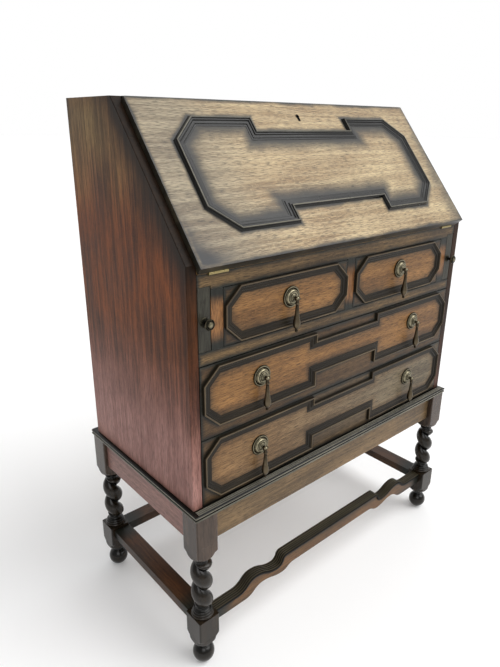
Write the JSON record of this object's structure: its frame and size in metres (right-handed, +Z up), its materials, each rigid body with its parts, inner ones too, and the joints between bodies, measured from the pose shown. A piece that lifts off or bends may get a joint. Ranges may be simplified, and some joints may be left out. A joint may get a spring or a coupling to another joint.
{
  "type": "secretary desk",
  "caption": "Oak slant-front writing bureau: hinged fall over short and long drawers, pull-out fall supports, on a barley-twist stand with a shaped front stretcher.",
  "frame": {"origin": "centre of the footprint of the whole desk, on the floor", "axes": "+X to the desk's right as seen from the front, +Y to the back, +Z up; the drawers face -Y"},
  "size_m": [0.7766, 0.3949, 1.026],
  "materials": {
    "oak_side": "dark stained oak, satin polish",
    "oak_case": "dark stained oak, satin polish",
    "oak_front": "stained oak rubbed paler in the middle, satin polish",
    "oak_moulding": "near-black toned oak, satin polish",
    "oak_stand": "dark stained oak, satin polish",
    "oak_inner": "plain unpolished oak",
    "brass_aged": "antiqued brass, satin",
    "brass_bright": "plain brass, satin"
  },
  "bodies": {
    "carcass": {"side_left": "oak_side", "side_right": "oak_side", "top_board": "oak_case", "hinge_rail": "oak_case", "drawer_rail": "oak_case", "front_stiles": "oak_case", "stand_moulding": "oak_moulding", "stretcher_capping": "oak_moulding", "frieze_front": "oak_stand", "frieze_back": "oak_stand", "frieze_left": "oak_stand", "frieze_right": "oak_stand", "leg_front_left": "oak_stand", "leg_front_right": "oak_stand", "leg_back_left": "oak_stand", "leg_back_right": "oak_stand", "stretcher_left": "oak_stand", "stretcher_right": "oak_stand", "stretcher_back": "oak_stand", "stretcher_front": "oak_stand", "back_panel": "oak_inner", "writing_bed": "oak_inner", "dust_board": "oak_inner", "bottom_board": "oak_inner", "drawer_runners": "oak_inner", "pigeonhole_fitment": "oak_inner", "rail_hinge_leaves": "brass_bright", "lock_strike": "brass_bright"},
    "fall": {"fall_panel": "oak_front", "fall_moulding": "oak_moulding", "keyhole_escutcheon": "brass_bright", "fall_lock_case": "brass_bright", "fall_hinge_leaves": "brass_bright"},
    "lock_bolt": {"lock_bolt": "brass_bright"},
    "loper_left": {"loper_left": "oak_case", "loper_knob_left": "brass_aged"},
    "loper_right": {"loper_right": "oak_case", "loper_knob_right": "brass_aged"},
    "short_drawer_left": {"short_drawer_left_front": "oak_front", "short_drawer_left_moulding": "oak_moulding", "short_drawer_left_box": "oak_inner", "short_drawer_left_plates": "brass_aged"},
    "short_drop_left": {"short_drop_left": "brass_aged"},
    "short_drawer_right": {"short_drawer_right_front": "oak_front", "short_drawer_right_moulding": "oak_moulding", "short_drawer_right_box": "oak_inner", "short_drawer_right_plates": "brass_aged"},
    "short_drop_right": {"short_drop_right": "brass_aged"},
    "middle_drawer": {"middle_drawer_front": "oak_front", "middle_drawer_moulding": "oak_moulding", "middle_drawer_box": "oak_inner", "middle_drawer_plates": "brass_aged"},
    "middle_drop_left": {"middle_drop_left": "brass_aged"},
    "middle_drop_right": {"middle_drop_right": "brass_aged"},
    "lower_drawer": {"lower_drawer_front": "oak_front", "lower_drawer_moulding": "oak_moulding", "lower_drawer_box": "oak_inner", "lower_drawer_plates": "brass_aged"},
    "lower_drop_left": {"lower_drop_left": "brass_aged"},
    "lower_drop_right": {"lower_drop_right": "brass_aged"}
  },
  "joints": [
    {"name": "fall_hinge", "type": "hinge", "parent": "carcass", "child": "fall", "pos_m": [0, -0.1755, 0.773], "axis": [1, 0, 0], "range_deg": [0, 129]},
    {"name": "lock_throw", "type": "slide", "parent": "fall", "child": "lock_bolt", "axis": [0, 0.6315, 0.7754], "range_m": [0, 0.007]},
    {"name": "loper_left_slide", "type": "slide", "parent": "carcass", "child": "loper_left", "axis": [0, -1, 0], "range_m": [0, 0.25]},
    {"name": "loper_right_slide", "type": "slide", "parent": "carcass", "child": "loper_right", "axis": [0, -1, 0], "range_m": [0, 0.25]},
    {"name": "short_drawer_left_slide", "type": "slide", "parent": "carcass", "child": "short_drawer_left", "axis": [0, -1, 0], "range_m": [0, 0.25]},
    {"name": "short_drawer_right_slide", "type": "slide", "parent": "carcass", "child": "short_drawer_right", "axis": [0, -1, 0], "range_m": [0, 0.25]},
    {"name": "middle_drawer_slide", "type": "slide", "parent": "carcass", "child": "middle_drawer", "axis": [0, -1, 0], "range_m": [0, 0.25]},
    {"name": "lower_drawer_slide", "type": "slide", "parent": "carcass", "child": "lower_drawer", "axis": [0, -1, 0], "range_m": [0, 0.25]},
    {"name": "short_drop_left_swing", "type": "hinge", "parent": "short_drawer_left", "child": "short_drop_left", "pos_m": [-0.161, -0.1905, 0.702], "axis": [-1, 0, 0], "range_deg": [0, 85]},
    {"name": "short_drop_right_swing", "type": "hinge", "parent": "short_drawer_right", "child": "short_drop_right", "pos_m": [0.161, -0.1905, 0.702], "axis": [-1, 0, 0], "range_deg": [0, 85]},
    {"name": "middle_drop_left_swing", "type": "hinge", "parent": "middle_drawer", "child": "middle_drop_left", "pos_m": [-0.228, -0.1905, 0.57], "axis": [-1, 0, 0], "range_deg": [0, 85]},
    {"name": "middle_drop_right_swing", "type": "hinge", "parent": "middle_drawer", "child": "middle_drop_right", "pos_m": [0.228, -0.1905, 0.57], "axis": [-1, 0, 0], "range_deg": [0, 85]},
    {"name": "lower_drop_left_swing", "type": "hinge", "parent": "lower_drawer", "child": "lower_drop_left", "pos_m": [-0.23, -0.1905, 0.431], "axis": [-1, 0, 0], "range_deg": [0, 85]},
    {"name": "lower_drop_right_swing", "type": "hinge", "parent": "lower_drawer", "child": "lower_drop_right", "pos_m": [0.23, -0.1905, 0.431], "axis": [-1, 0, 0], "range_deg": [0, 85]}
  ]
}
